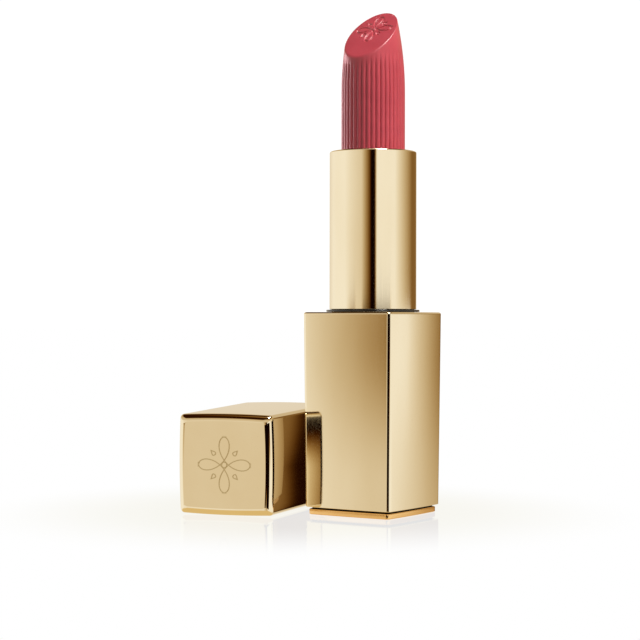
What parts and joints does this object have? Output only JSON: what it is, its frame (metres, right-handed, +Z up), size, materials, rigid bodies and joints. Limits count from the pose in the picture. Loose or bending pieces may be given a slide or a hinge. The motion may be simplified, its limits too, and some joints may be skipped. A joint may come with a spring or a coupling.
{
  "type": "lipstick case",
  "caption": "Refillable twist-up lipstick with a square base, a round turning tube and a separate square magnetic cap.",
  "frame": {"origin": "centre of the base's foot, on the surface that it stands on", "axes": "+Z up along the lipstick's axis, X and Y square to the base's faces; the slanted face of the bullet looks towards -Y"},
  "size_m": [0.0478, 0.0377, 0.0957],
  "materials": {
    "gold_case": "polished gold-coloured anodising with a very fine lengthwise grain",
    "gold_tube": "polished gold-coloured anodising",
    "black_plastic": "moulded, fine matt",
    "black_gloss": "moulded, glossy",
    "white_acetal": "natural moulded",
    "silicone": "matt, soft",
    "steel": "turned and zinc-plated",
    "nickel": "nickel-plated magnet",
    "label": "satin film, one plain colour",
    "lipstick": "satin wax with fine upright flutes"
  },
  "bodies": {
    "case": {"base_shell": "gold_case", "base_liner": "black_plastic", "base_weight": "steel", "base_plate": "gold_case", "shade_label": "label", "base_magnet_1": "nickel", "base_magnet_2": "nickel", "base_magnet_3": "nickel", "base_magnet_4": "nickel"},
    "refill": {"guide_tube": "black_plastic", "collar_ring": "black_gloss", "refill_plug": "black_plastic", "retaining_ring": "silicone", "brake_ring": "silicone"},
    "tube": {"tube_shell": "gold_tube", "spiral_sleeve": "white_acetal"},
    "cup": {"carrier_cup": "white_acetal", "bullet": "lipstick"},
    "cap": {"cap_shell": "gold_case", "cap_liner": "black_plastic", "cap_weight": "steel", "cap_magnet_1": "nickel", "cap_magnet_2": "nickel", "cap_magnet_3": "nickel", "cap_magnet_4": "nickel"}
  },
  "joints": [
    {"name": "refill_pull", "type": "slide", "parent": "case", "child": "refill", "axis": [0, 0, 1], "range_m": [0, 0.023]},
    {"name": "twist", "type": "hinge", "parent": "refill", "child": "tube", "pos_m": [0, 0, 0.0387], "axis": [0, 0, 1], "range_deg": [0, 540]},
    {"name": "lift", "type": "slide", "parent": "refill", "child": "cup", "axis": [0, 0, 1], "range_m": [-0.028, 0]},
    {"name": "cap_pull", "type": "slide", "parent": "case", "child": "cap", "axis": [0.2445, -0.9697, 0], "range_m": [0, 0.034]}
  ],
  "couplings": [
    {"joint": "lift", "follows": "twist", "m_per_rad": -0.00297}
  ]
}
